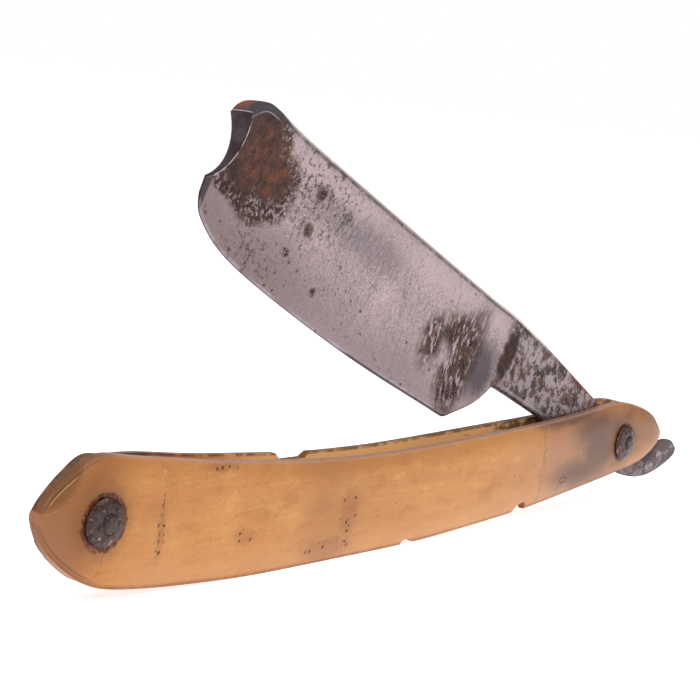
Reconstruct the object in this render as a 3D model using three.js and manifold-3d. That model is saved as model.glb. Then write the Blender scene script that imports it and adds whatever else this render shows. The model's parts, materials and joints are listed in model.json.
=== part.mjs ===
// Straight razor standing on the belly of its scales, blade part open.
// Millimetres, +Z up. X runs along the handle (+X at the pivot end), Y along the pins, the front
// scale at -Y.
// Shapes are written from the wedge pin, on the line through both pins, and the outer group
// moves them so that the origin is at the middle of the box, on the standing face.
import * as THREE from 'three';
import { mergeVertices } from 'three/addons/utils/BufferGeometryUtils.js';
import Module from 'manifold-3d';

const wasm = await Module();
wasm.setup();

// Driving dimensions
const PIN_SPACING = 126;
const BELLY_DEPTH = 10.3;          // standing face below the pin line
const SHIFT_X = -70.9;             // wedge pin from the middle of the box
const OPEN_DEG = 23.6;             // blade's rest opening from the pin line

const HALF_GAP = 1.15;             // inner face of a scale from the middle plane, at the pins
const SCALE_THICK = 2.0;           // along the middle band of a scale
const SCALE_RIM = 0.5;             // share of that thickness left at the rim
const SCALE_BAND = 3.2;            // half height of the flat middle band
const SCALE_BOW = 0.8;             // how far the scales stand out in the middle
const WEDGE_TAPER_START = 6;       // from here to the butt the scales close on the wedge
const WEDGE_TAPER = 1.0;
const SCALE_BUTT_X = -9.1;
const SCALE_NOSE_X = 141.1;
const ROUND_BUTT_X = -3.3;         // the outer faces round over to the butt from here
const ROUND_NOSE_X = 131;          // and to the nose from here
const WEDGE_INNER_X = 5.2;
const WEDGE_INSET = 0.5;
const FIT_GAP = 0.02;              // between faces that touch

const PIN_R = 0.8;
const PIN_HOLE_R = 0.86;
const PIN_HEAD_R = 1.1;
const PIN_HEAD_H = 0.42;
const COLLAR_R = 3.05;
const COLLAR_H = 1.05;
const COLLAR_RIM_H = 0.22;

const SPINE_HALF = 2.0;            // blade's half thickness at the spine
const SPINE_Z = 5;                 // spine's height over the pivot
const TANG_HALF = 1.1;
const EDGE_HALF = 0.05;
const NOTCH_R = 6.9;
const NOTCH_AT = [-122.6, -1.4];

// Outline of a scale: [x, z] knots of its top and bottom edges
const SCALE_TOP = [
  [-9.1, 1.2], [-8.7, 2.2], [-7.7, 3.8], [-6.1, 5.3], [-4, 6.6], [-2.2, 7.6], [-0.6, 8.1],
  [1.5, 7.9], [4.7, 7.4], [11.5, 6.6], [20.3, 5.6], [33.5, 4.55], [46, 3.8], [59.3, 3.65],
  [70.4, 3.9], [82.6, 4.3], [96, 4.8], [110.5, 5.55], [118, 6.25], [122.5, 6.75], [125.4, 6.85],
  [129, 6.3], [132.7, 5.45], [136.8, 4.1], [139.4, 2.6], [141.1, 0.8],
];
const SCALE_BOTTOM = [
  [-9.1, 0.3], [-8.9, -0.9], [-8.4, -2.2], [-6.6, -4.3], [-4.7, -5.7], [-2.7, -6.9], [-0.7, -7.9],
  [1.2, -8.45], [3.2, -8.8], [7.2, -9.25], [11.5, -9.65], [20.2, -10.05], [30, -BELLY_DEPTH],
  [60, -BELLY_DEPTH], [71, -10.0], [83.9, -9.25], [96.3, -8.6], [102.4, -8.1], [110.3, -7.35],
  [118, -6.5], [125.7, -5.55], [134.7, -4.2], [139.1, -2.5], [140.6, -1.2], [141.1, 0.1],
];
// Chips along the edges: [start, floor start, floor end, end, depth]
const FRONT_BOTTOM_CHIPS = [[61.2, 63.8, 64.4, 65.4, 0.75], [91.0, 93.2, 94.2, 96.4, 1.45]];
const BACK_TOP_CHIPS = [[36, 40, 42.4, 44.8, 1.2], [-8.6, -3.3, 1.6, 9, 0.5]];
const BACK_SHORTER = 0.9;          // the back scale is worn shorter at the butt

// Blade from the pivot, toe towards -X: [x, z] knots of its spine and of its edge, belly and tail
const BLADE_TOP = [
  [-118.5, -3], [-118.3, -1.5], [-117.5, 1.2], [-116.5, 3.4], [-115.3, 4.9], [-114, 5.45], [-112.5, 5.5],
  [-110, 5.3], [-106, 5.0], [-80, 5.0], [-51, 5.15], [-44, 5.35], [-37, 5.25], [-29, 4.95], [-21.5, 4.45],
  [-13.4, 3.85], [-6, 3.2], [0, 2.8], [6, 1.9], [10, 1.2], [12.5, 1.5], [14.3, 2.9], [17, 5.5], [19.8, 6.9],
  [22, 7.4], [23.6, 7.1], [24.3, 6.4],
];
const BLADE_BOTTOM = [
  [-118.5, -9], [-118.2, -10.2], [-117.4, -11.4], [-115.9, -12.3], [-112.7, -13.6], [-108.7, -14.4],
  [-102.9, -14.9], [-91.6, -15.3], [-81, -15.45], [-71.1, -15.3], [-57.1, -14.7], [-50.9, -14.3],
  [-48.7, -13.1], [-45.7, -10.7], [-43.4, -8.1], [-41.9, -5.9], [-33.3, -5.4], [-23.6, -5.0], [0, -4.2],
  [6.4, -4.1], [12.4, -2.9], [16, -1.4], [19.4, 0.6], [22, 2.6], [23.6, 4.3], [24.3, 5.7],
];
// Hollow ground section: [depth below the spine, half thickness]
const GRIND = [
  [0, SPINE_HALF], [1.6, 1.95], [3, 1.66], [5, 1.2], [7, 0.84], [10, 0.44], [14, 0.22],
  [18, 0.1], [20, 0.05],
];
// Half thickness of the shank at the spine: [x, half thickness]
const SHANK = [
  [-52, SPINE_HALF], [-44, SPINE_HALF], [-37, 1.7], [-30, 1.36], [-22, 1.13], [-13, TANG_HALF],
  [16, TANG_HALF], [24.3, 0.95],
];

const clamp01 = (t) => Math.min(1, Math.max(0, t));
const smooth = (t) => clamp01(t) ** 2 * (3 - 2 * clamp01(t));
const lerp = (a, b, t) => a + (b - a) * t;

// Value at x of a smooth curve through [x, value] knots
function at(knots, x) {
  const last = knots.length - 1;
  if (x <= knots[0][0]) return knots[0][1];
  if (x >= knots[last][0]) return knots[last][1];
  let i = 0;
  while (knots[i + 1][0] < x) i += 1;
  const step = (k) => (knots[k + 1][1] - knots[k][1]) / (knots[k + 1][0] - knots[k][0]);
  const slope = (k) => {
    if (k === 0) return step(0);
    if (k === last) return step(last - 1);
    const a = step(k - 1);
    const b = step(k);
    return a * b <= 0 ? 0 : (2 * a * b) / (a + b);
  };
  const w = knots[i + 1][0] - knots[i][0];
  const t = (x - knots[i][0]) / w;
  const rise = knots[i + 1][1] - knots[i][1];
  const start = slope(i) * w;
  const end = slope(i + 1) * w;
  return knots[i][1] + start * t + (3 * rise - 2 * start - end) * t * t + (start + end - 2 * rise) * t ** 3;
}

const chipDepth = (chips, x) => {
  let depth = 0;
  for (const [start, floorStart, floorEnd, end, d] of chips) {
    const into = clamp01((x - start) / (floorStart - start));
    const outOf = clamp01((end - x) / (end - floorEnd));
    depth = Math.max(depth, d * Math.min(into, outOf));
  }
  return depth;
};
const chipStations = (chips) => chips.flatMap((chip) => chip.slice(0, 4));

// A box bent to shape: place(x station, row, side) gives each vertex, and side runs -1..1
// across the thickness
function shapedBox(stations, rows, across, place) {
  const geometry = new THREE.BoxGeometry(1, 1, 1, stations.length - 1, across, rows.length - 1);
  const position = geometry.attributes.position;
  const v = new THREE.Vector3();
  for (let i = 0; i < position.count; i += 1) {
    v.fromBufferAttribute(position, i);
    const x = stations[Math.round((v.x + 0.5) * (stations.length - 1))];
    const row = Math.round((v.z + 0.5) * (rows.length - 1));
    place(v, x, row, 2 * v.y);
    position.setXYZ(i, v.x, v.y, v.z);
  }
  return geometry;
}

const sorted = (list) => [...new Set(list.map((x) => Math.round(x * 1000) / 1000))].sort((a, b) => a - b);

function solid(geometry) {
  const g = geometry.clone();
  g.deleteAttribute('normal');
  g.deleteAttribute('uv');
  const merged = mergeVertices(g, 1e-5);
  const mesh = new wasm.Mesh({
    numProp: 3,
    vertProperties: new Float32Array(merged.attributes.position.array),
    triVerts: new Uint32Array(merged.index.array),
  });
  return new wasm.Manifold(mesh);
}

function geometryOf(manifold) {
  const mesh = manifold.getMesh();
  const g = new THREE.BufferGeometry();
  g.setAttribute('position', new THREE.BufferAttribute(new Float32Array(mesh.vertProperties), 3));
  g.setIndex(new THREE.BufferAttribute(new Uint32Array(mesh.triVerts), 1));
  g.computeVertexNormals();
  return g;
}

// A round hole along Y
const drill = (x, z, radius, sides) => {
  const cutter = new THREE.CylinderGeometry(radius, radius, 20, sides);
  return solid(cutter.translate(x, 0, z));
};

// Scale: inner face offset and thickness along X
const bow = (x) => SCALE_BOW * smooth((x - 8) / 26) * smooth((114 - x) / 32);
const closing = (x) => WEDGE_TAPER * clamp01((WEDGE_TAPER_START - x) / (WEDGE_TAPER_START - SCALE_BUTT_X));
const innerFace = (x) => HALF_GAP + bow(x) - closing(x);
const roundOver = (t, end) => lerp(end, 1, Math.sqrt(1 - clamp01(t) ** 2));
const thickness = (x) => SCALE_THICK
  * roundOver((ROUND_BUTT_X - x) / (ROUND_BUTT_X - SCALE_BUTT_X), 0.3)
  * roundOver((x - ROUND_NOSE_X) / (SCALE_NOSE_X - ROUND_NOSE_X), 0.5);

const SCALE_STATIONS = [
  -9.1, -8.9, -8.6, -8.1, -7.3, -6.2, -4.8, -3.3, -1.8, 0, 1.6, 3.4, 6, 9, 13, 17, 21, 25.5, 30,
  34, 44.8, 52, 60, 71, 82, 88, 94, 99, 104, 109, 114, 118, 121.5, 124.5, 128, 131, 134, 136.4,
  138.4, 139.8, 140.7, 141.1,
];

function scale(topChips, bottomChips, shorter) {
  const stations = sorted([...SCALE_STATIONS, ...chipStations(topChips), ...chipStations(bottomChips)]);
  const share = [SCALE_RIM, 0.86, 1, 1, 0.86, SCALE_RIM];
  const body = shapedBox(stations, [0, 1, 2, 3, 4, 5], 1, (v, x, row, side) => {
    const top = at(SCALE_TOP, x) - chipDepth(topChips, x);
    const bottom = at(SCALE_BOTTOM, x) + chipDepth(bottomChips, x);
    const middle = lerp(0, (top + bottom) / 2, smooth((x - 4) / 24) * smooth((122 - x) / 24));
    const low = Math.max(middle - SCALE_BAND, lerp(bottom, top, 0.12));
    const high = Math.min(middle + SCALE_BAND, lerp(bottom, top, 0.88));
    const heights = [bottom, lerp(bottom, low, 0.35), low, high, lerp(top, high, 0.35), top];
    const worn = x + shorter * smooth((3.4 - x) / 11);
    v.set(worn, innerFace(worn) + (side > 0 ? thickness(worn) * share[row] : 0), heights[row]);
  });
  return solid(body)
    .subtract(drill(0, 0, PIN_HOLE_R, 32))
    .subtract(drill(PIN_SPACING, 0, PIN_HOLE_R, 32));
}

const backScale = scale(BACK_TOP_CHIPS, [], BACK_SHORTER);
const frontScale = scale([], FRONT_BOTTOM_CHIPS, 0).mirror([0, 1, 0]);

// Wedge: fills the tapering gap at the butt, a little inside the scales' outline
const wedgeStations = [-8.2, -7.8, -7.3, -6.2, -4.8, -3.3, -1.8, 0, 1.6, 3.4, WEDGE_INNER_X];
const wedgeBox = shapedBox(wedgeStations, [0, 1, 2], 1, (v, x, row, side) => {
  const top = at(SCALE_TOP, x) - WEDGE_INSET;
  const bottom = at(SCALE_BOTTOM, x) + WEDGE_INSET;
  v.set(x, side * (innerFace(x) - FIT_GAP), lerp(bottom, top, row / 2));
});
const wedge = solid(wedgeBox).subtract(drill(0, 0, PIN_HOLE_R, 32));

// Blade, shank, tang and tail in one forging
const BLADE_ROWS = [1, 0.9, 0.78, 0.64, 0.5, 0.36, 0.25, 0.15, 0.08, 0.035, 0];
const BLADE_STATIONS = [
  -118.5, -118.3, -117.8, -117.2, -116.5, -115.8, -115, -114.2, -113.5, -112, -110, -107, -103,
  -98, -92, -85, -78, -71, -64, -58, -54, -52, -50.9, -49.8, -48.7, -47.2, -45.7, -44.5, -43.4,
  -42.6, -41.9, -40, -37, -33.5, -30, -26, -22, -17.5, -13, -8, -3, 2, 6, 9, 11.5, 13, 14.3, 15.6,
  17, 18.4, 19.8, 21, 22, 22.9, 23.6, 24.3,
];

function bladeHalf(x, fraction, depth) {
  const blade = smooth((-x - 43.5) / 8);
  const tail = smooth((x - 4) / 8);
  const narrow = lerp(1, 0.62, smooth((-x - 12) / 22));
  let shank = at(SHANK, x) * lerp(1, narrow, fraction);
  if (fraction === 1) shank *= 0.72;
  const round = TANG_HALF * Math.max(0.5, (1 - Math.abs(2 * fraction - 1) ** 3.2) ** 0.5);
  const body = lerp(lerp(shank, Math.min(round, shank), tail), at(GRIND, depth), blade);
  return Math.max(EDGE_HALF, body);
}

const bladeBox = shapedBox(BLADE_STATIONS, BLADE_ROWS, 2, (v, x, row, side) => {
  const top = at(BLADE_TOP, x);
  const bottom = at(BLADE_BOTTOM, x);
  const fraction = BLADE_ROWS[row];
  const z = lerp(top, bottom, fraction);
  const half = bladeHalf(x, fraction, Math.max(0, SPINE_Z - z));
  const crown = fraction === 0 ? 0.5 : fraction < 0.05 ? 0.88 : 1;
  const drop = fraction === 0 ? 0.14 * Math.abs(side) : 0;
  v.set(x, side * half * crown, z - drop);
});
const bladeSolid = solid(bladeBox)
  .subtract(drill(NOTCH_AT[0], NOTCH_AT[1], NOTCH_R, 56))
  .subtract(drill(0, 0, PIN_HOLE_R, 32));

// Pin: rod with a peened head at each end
function pin(headSeat) {
  const profile = [[0, -headSeat - PIN_HEAD_H]];
  const arc = [[0.45, 0.96], [0.8, 0.72], [1, 0.3], [1, 0]];
  for (const [r, h] of arc) profile.push([PIN_HEAD_R * r, -headSeat - PIN_HEAD_H * h]);
  profile.push([PIN_R, -headSeat]);
  profile.push([PIN_R, headSeat]);
  for (const [r, h] of [...arc].reverse()) profile.push([PIN_HEAD_R * r, headSeat + PIN_HEAD_H * h]);
  profile.push([0, headSeat + PIN_HEAD_H]);
  return new THREE.LatheGeometry(profile.map(([r, y]) => new THREE.Vector2(r, y)), 32);
}

// Collar: domed washer with a flat seat for the pin's head, standing on y = 0
function collar() {
  const profile = [[PIN_HOLE_R, 0], [COLLAR_R, 0], [COLLAR_R, COLLAR_RIM_H]];
  const seat = PIN_HEAD_R + 0.12;
  for (let i = 1; i <= 5; i += 1) {
    const t = (i / 5) * (Math.PI / 2);
    const rise = COLLAR_RIM_H + (COLLAR_H - COLLAR_RIM_H) * Math.sin(t);
    profile.push([seat + (COLLAR_R - seat) * Math.cos(t), rise]);
  }
  profile.push([PIN_HOLE_R, COLLAR_H]);
  profile.push([PIN_HOLE_R, 0]);
  return new THREE.LatheGeometry(profile.map(([r, y]) => new THREE.Vector2(r, y)), 40);
}

function piece(name, geometry, color, roughness, metalness) {
  const material = new THREE.MeshStandardMaterial({ color, roughness, metalness });
  const mesh = new THREE.Mesh(geometry, material);
  mesh.name = name;
  return mesh;
}

const razor = new THREE.Group();
const handle = new THREE.Group();
handle.position.set(SHIFT_X, 0, BELLY_DEPTH);
razor.add(handle);

handle.add(piece('front_scale', geometryOf(frontScale), 0xc8965c, 0.45, 0));
handle.add(piece('back_scale', geometryOf(backScale), 0xc08c52, 0.5, 0));
handle.add(piece('wedge', geometryOf(wedge), 0x5a4636, 0.6, 0));

const wedgeSlant = Math.atan2(WEDGE_TAPER, WEDGE_TAPER_START - SCALE_BUTT_X);
const wedgeSeat = innerFace(0) + SCALE_THICK + FIT_GAP;
const pivotSeat = HALF_GAP + SCALE_THICK + FIT_GAP;

const joints = [['wedge', 0, wedgeSeat, wedgeSlant], ['pivot', PIN_SPACING, pivotSeat, 0]];
for (const [name, x, seat, slant] of joints) {
  const back = piece(`${name}_collar_back`, collar(), 0x4a3a34, 0.6, 0.7);
  back.position.set(x, seat, 0);
  back.rotation.z = slant;
  handle.add(back);
  const front = piece(`${name}_collar_front`, collar(), 0x4a3a34, 0.6, 0.7);
  front.position.set(x, -seat, 0);
  front.rotation.set(Math.PI, 0, slant);
  handle.add(front);
  const rod = piece(`${name}_pin`, pin(seat + COLLAR_H + 0.08), 0x5b4a42, 0.55, 0.8);
  rod.position.set(x, 0, 0);
  handle.add(rod);
}

const blade = piece('blade', geometryOf(bladeSolid), 0xa89ca0, 0.4, 0.9);
const bladeGroup = new THREE.Group();
bladeGroup.position.set(PIN_SPACING, 0, 0);
bladeGroup.rotation.y = THREE.MathUtils.degToRad(OPEN_DEG);
bladeGroup.add(blade);
handle.add(bladeGroup);

export default razor;
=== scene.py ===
import json
import math

import bmesh
import bpy
from mathutils import Matrix, Vector


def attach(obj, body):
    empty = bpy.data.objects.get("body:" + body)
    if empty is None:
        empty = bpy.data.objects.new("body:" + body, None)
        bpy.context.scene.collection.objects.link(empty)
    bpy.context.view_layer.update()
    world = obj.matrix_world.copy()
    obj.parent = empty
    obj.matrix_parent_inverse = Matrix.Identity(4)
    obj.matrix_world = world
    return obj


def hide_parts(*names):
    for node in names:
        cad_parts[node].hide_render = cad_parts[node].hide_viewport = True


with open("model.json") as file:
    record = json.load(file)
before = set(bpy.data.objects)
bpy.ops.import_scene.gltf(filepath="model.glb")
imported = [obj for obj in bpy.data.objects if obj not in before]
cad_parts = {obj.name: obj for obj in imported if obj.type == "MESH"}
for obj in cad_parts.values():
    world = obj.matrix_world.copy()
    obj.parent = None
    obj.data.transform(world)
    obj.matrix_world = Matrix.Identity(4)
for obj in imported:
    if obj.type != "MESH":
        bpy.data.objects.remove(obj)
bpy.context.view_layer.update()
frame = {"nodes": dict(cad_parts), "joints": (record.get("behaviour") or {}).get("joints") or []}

# Straight razor standing on the belly of its horn scales, blade part open.
# Outlines are in millimetres: those of the scales from the wedge pin, those of the blade
# from the pivot pin, with X along the handle, Y along the pins and Z up.
MM = 0.001
PIVOT = Vector(frame["joints"][0]["pos_m"])
PIN_SPACING = 126
WEDGE_PIN = PIVOT - Vector((PIN_SPACING * MM, 0, 0))
OPEN_ANGLE = math.radians(23.6)

HALF_GAP = 1.15
SCALE_THICK = 2.0
PIN_R = 0.8
PIN_HOLE_R = 0.86
COLLAR_R = 3.05
COLLAR_H = 1.05
WEDGE_SEAT = 2.77
PIVOT_SEAT = 3.17
WEDGE_SLANT = math.atan2(1.0, 15.1)
SPINE_HALF = 2.0
TANG_HALF = 1.1
SPINE_Z = 5

SCALE_TOP = [
    (-9.1, 1.7), (-8.7, 2.6), (-7.7, 3.95), (-6.1, 5.35), (-4, 6.6), (-2.2, 7.6), (-0.6, 8.1),
    (1.5, 7.9), (4.7, 7.4), (11.5, 6.6), (20.3, 5.6), (33.5, 4.55), (46, 3.8), (59.3, 3.65),
    (70.4, 3.9), (82.6, 4.3), (96, 4.8), (110.5, 5.55), (118, 6.25), (122.5, 6.75),
    (125.4, 6.85), (129, 6.3), (132.7, 5.45), (136.8, 4.1), (139.4, 2.6), (141.1, 0.8),
]
SCALE_BOTTOM = [
    (-9.1, -0.4), (-8.9, -1.2), (-8.4, -2.3), (-6.6, -4.3), (-4.7, -5.7), (-2.7, -6.9),
    (-0.7, -7.9), (1.2, -8.45), (3.2, -8.8), (7.2, -9.25), (11.5, -9.65), (20.2, -10.05),
    (30, -10.3), (60, -10.3), (71, -10.0), (83.9, -9.25), (96.3, -8.6), (102.4, -8.1),
    (110.3, -7.35), (118, -6.5), (125.7, -5.55), (134.7, -4.2), (139.1, -2.5), (140.6, -1.2),
    (141.1, 0.1),
]
SCALE_STATIONS = [
    -9.1, -8.9, -8.6, -8.1, -7.3, -6.2, -4.8, -3.3, -1.8, 0, 1.6, 3.4, 6, 9, 13, 17, 21, 25.5,
    30, 37, 44.8, 52, 60, 71, 82, 88, 94, 99, 104, 109, 114, 118, 121.5, 124.5, 128, 131, 134,
    136.4, 138.4, 139.8, 140.7, 141.1,
]
# Share of the thickness across a scale's outer face, from its lower to its upper rim
SCALE_SECTION = [
    (0, 0.5), (0.06, 0.66), (0.15, 0.84), (0.28, 0.96), (0.42, 1), (0.58, 1), (0.72, 0.96),
    (0.85, 0.84), (0.94, 0.66), (1, 0.5),
]

BLADE_TOP = [
    (-118.5, -3), (-118.3, -1.5), (-117.5, 1.2), (-116.5, 3.4), (-115.3, 4.9), (-114, 5.45),
    (-112.5, 5.5), (-110, 5.3), (-106, 5.0), (-80, 5.0), (-51, 5.15), (-44, 5.35), (-37, 5.25),
    (-29, 4.95), (-21.5, 4.45), (-13.4, 3.85), (-6, 3.2), (0, 2.8), (6, 1.9), (10, 1.2),
    (12.4, 0.7), (14.4, 1.3), (16.3, 2.7), (17.5, 4.3), (18.5, 5.9), (20.2, 7.0), (22, 7.5),
    (23.6, 7.2), (24.3, 6.5),
]
BLADE_BOTTOM = [
    (-118.5, -9), (-118.2, -10.2), (-117.4, -11.4), (-115.9, -12.3), (-112.7, -13.6),
    (-108.7, -14.4), (-102.9, -14.9), (-91.6, -15.3), (-81, -15.45), (-71.1, -15.3),
    (-57.1, -14.75), (-51.4, -14.55), (-50.7, -14.3), (-48.7, -12.9), (-45.7, -10.7), (-43.4, -8.1),
    (-41.9, -5.9), (-33.3, -5.4), (-23.6, -5.0), (0, -4.2), (6.4, -4.1), (12.4, -2.9),
    (16.2, -1.4), (20, 1.0), (22.7, 3.4), (23.8, 4.8), (24.3, 5.8),
]
BLADE_STATIONS = [
    -118.5, -118.3, -117.8, -117.2, -116.5, -115.8, -115, -114.2, -113.5, -112, -110, -107,
    -103, -98, -92, -85, -78, -71, -64, -58, -54, -52.2, -51.5, -51, -50.5, -49.8, -48.7, -47.2, -45.7, -44.5,
    -43.4, -42.6, -41.9, -40, -37, -33.5, -30, -26, -22, -17.5, -13, -8, -3, 2, 6, 9, 11.5, 13,
    14.3, 15.6, 16.6, 17.4, 18.1, 18.8, 19.8, 21, 22, 22.9, 23.6, 24.3,
]
BLADE_ROWS = [0, 0.014, 0.028, 0.07, 0.15, 0.25, 0.36, 0.5, 0.64, 0.78, 0.9, 1]
# Share of the thickness left on the worn corner of the spine, by row
SPINE_CROWN = {0: 0.74, 0.014: 0.93}
# Hollow ground section: (depth below the spine, half thickness)
GRIND = [
    (0, SPINE_HALF), (1.6, 1.95), (3, 1.66), (5, 1.2), (7, 0.84), (10, 0.44), (14, 0.22),
    (18, 0.1), (20, 0.05),
]
# Half thickness of the shank at the spine: (x, half thickness)
SHANK = [
    (-52, SPINE_HALF), (-44, SPINE_HALF), (-37, 1.7), (-30, 1.36), (-22, 1.13),
    (-13, TANG_HALF), (16, TANG_HALF), (24.3, 0.95),
]


def clamp01(t):
    return min(1, max(0, t))


def ease(t):
    t = clamp01(t)
    return t * t * (3 - 2 * t)


def lerp(a, b, t):
    return a + (b - a) * t


def curve_at(knots, x):
    """Value at x of a smooth curve through (x, value) knots."""
    if x <= knots[0][0]:
        return knots[0][1]
    if x >= knots[-1][0]:
        return knots[-1][1]
    i = 0
    while knots[i + 1][0] < x:
        i += 1
    steps = [(b[1] - a[1]) / (b[0] - a[0]) for a, b in zip(knots, knots[1:])]

    def slope(k):
        if k == 0 or k == len(knots) - 1:
            return steps[min(k, len(steps) - 1)]
        a, b = steps[k - 1], steps[k]
        return 0 if a * b <= 0 else 2 * a * b / (a + b)

    width = knots[i + 1][0] - knots[i][0]
    t = (x - knots[i][0]) / width
    rise = knots[i + 1][1] - knots[i][1]
    start = slope(i) * width
    end = slope(i + 1) * width
    return (knots[i][1] + start * t + (3 * rise - 2 * start - end) * t * t
            + (start + end - 2 * rise) * t ** 3)


# ---------------------------------------------------------------- modelling helpers

def clear_selection():
    bpy.ops.object.select_all(action="DESELECT")


def begin(obj):
    clear_selection()
    obj.select_set(True)
    bpy.context.view_layer.objects.active = obj
    bpy.ops.object.mode_set(mode="EDIT")
    bpy.ops.mesh.select_all(action="DESELECT")


def end():
    bpy.ops.object.mode_set(mode="OBJECT")


def named(name):
    obj = bpy.context.object
    obj.name = name
    obj.data.name = name
    return obj


def bake_place(obj):
    """The object's turn, size and place go into its mesh."""
    clear_selection()
    obj.select_set(True)
    bpy.context.view_layer.objects.active = obj
    bpy.ops.object.transform_apply(location=True, rotation=True, scale=True)


def add_modifier(obj, kind, **settings):
    clear_selection()
    obj.select_set(True)
    bpy.context.view_layer.objects.active = obj
    modifier = obj.modifiers.new(kind.lower(), kind)
    for key, value in settings.items():
        setattr(modifier, key, value)
    bpy.ops.object.modifier_apply(modifier=modifier.name)


def smooth_by_angle(obj, degrees):
    clear_selection()
    obj.select_set(True)
    bpy.context.view_layer.objects.active = obj
    bpy.ops.object.shade_smooth_by_angle(angle=math.radians(degrees))


def select_faces(test):
    mesh = bmesh.from_edit_mesh(bpy.context.object.data)
    for face in mesh.faces:
        face.select_set(bool(test(face)))
    mesh.select_flush(True)
    bmesh.update_edit_mesh(bpy.context.object.data)


def slice_across(places, axis):
    """Cuts the whole mesh square across an axis at each place, keeping both sides."""
    normal = Vector((0, 0, 0))
    normal[axis] = 1
    for place in places:
        bpy.ops.mesh.select_all(action="SELECT")
        bpy.ops.mesh.bisect(plane_co=normal * place, plane_no=normal, threshold=1e-6)
    bpy.ops.mesh.select_all(action="DESELECT")


def nearest(values, v):
    return min(range(len(values)), key=lambda i: abs(values[i] - v))


def station_block(name, stations, rows):
    """A block 2 deep in Y and 1 high in Z, cut at each X station and at each row's height.
    Gives the object and its vertices by (station, row, side)."""
    first, last = stations[0], stations[-1]
    clear_selection()
    bpy.ops.mesh.primitive_cube_add(size=1, location=((first + last) / 2, 0, 0.5),
                                    scale=(last - first, 2, 1))
    block = named(name)
    bake_place(block)
    begin(block)
    slice_across(stations[1:-1], 0)
    slice_across(rows[1:-1], 2)
    end()
    grid = {}
    for vertex in block.data.vertices:
        x, y, z = vertex.co
        key = (nearest(stations, x), nearest(rows, z), 1 if y > 0 else -1)
        grid.setdefault(key, []).append(vertex.index)
    return block, grid


def take(grid, keys):
    """Selects the block's vertices at these (station, row, side) keys."""
    chosen = {i for key in keys for i in grid.get(key, ())}
    mesh = bmesh.from_edit_mesh(bpy.context.object.data)
    mesh.verts.ensure_lookup_table()
    for vertex in mesh.verts:
        vertex.select_set(vertex.index in chosen)
    bmesh.update_edit_mesh(bpy.context.object.data)


def keep_rims(block, grid, rows, low_at, high_at, stations):
    """UV map of the distances to the upper rim and to the lower one, in tens of millimetres,
    and one that is 1 on the faces turned to the middle plane."""
    uv = block.data.uv_layers.new(name="rims")
    inner = block.data.uv_layers.new(name="inner")
    place = {}
    near_middle = set()
    for (station, row, side), indices in grid.items():
        height = high_at(stations[station]) - low_at(stations[station])
        for i in indices:
            place[i] = ((1 - rows[row]) * height / 10, rows[row] * height / 10)
            if side < 0:
                near_middle.add(i)
    for face in block.data.polygons:
        is_inner = all(i in near_middle for i in face.vertices)
        for loop in face.loop_indices:
            uv.data[loop].uv = place[block.data.loops[loop].vertex_index]
            inner.data[loop].uv = (1, 0) if is_inner else (0, 0)


def cut_away(obj, cutter):
    add_modifier(obj, "BOOLEAN", operation="DIFFERENCE", object=cutter, solver="EXACT")
    bpy.data.objects.remove(cutter)


def rod_cutter(x, z, radius, turn=0, squash=1, sides=40, reach=20):
    """A round or oval cutter that runs along Y."""
    clear_selection()
    bpy.ops.mesh.primitive_cylinder_add(vertices=sides, radius=radius, depth=reach,
                                        location=(x, 0, z),
                                        rotation=(math.pi / 2, 0, 0))
    cutter = named("cutter")
    bake_place(cutter)
    begin(cutter)
    bpy.ops.mesh.select_all(action="SELECT")
    centre = (x, 0, z)
    bpy.ops.transform.resize(value=(1, 1, squash), center_override=centre)
    bpy.ops.transform.rotate(value=turn, orient_axis="Y", center_override=centre)
    end()
    return cutter


def settle(obj, origin, turn=0):
    """From millimetres about a pin to metres in the frame."""
    obj.matrix_world = (Matrix.Translation(origin) @ Matrix.Rotation(turn, 4, "Y")
                        @ Matrix.Scale(MM, 4))
    bake_place(obj)


# ---------------------------------------------------------------- scales

def bow(x):
    return 0.8 * ease((x - 8) / 26) * ease((114 - x) / 32)


def inner_face(x):
    return HALF_GAP + bow(x) - clamp01((6 - x) / 15.1)


def round_over(t, least):
    return lerp(least, 1, math.sqrt(1 - clamp01(t) ** 2))


def scale_thickness(x):
    return (SCALE_THICK * round_over((-3.3 - x) / 5.8, 0.3)
            * round_over((x - 131) / 10.1, 0.5))


def worn_dip(x):
    """How far the back scale's upper edge is worn down near the butt."""
    return 0.62 * ease((x + 9.1) / 2.4) * ease((9 - x) / 7.4)


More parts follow.
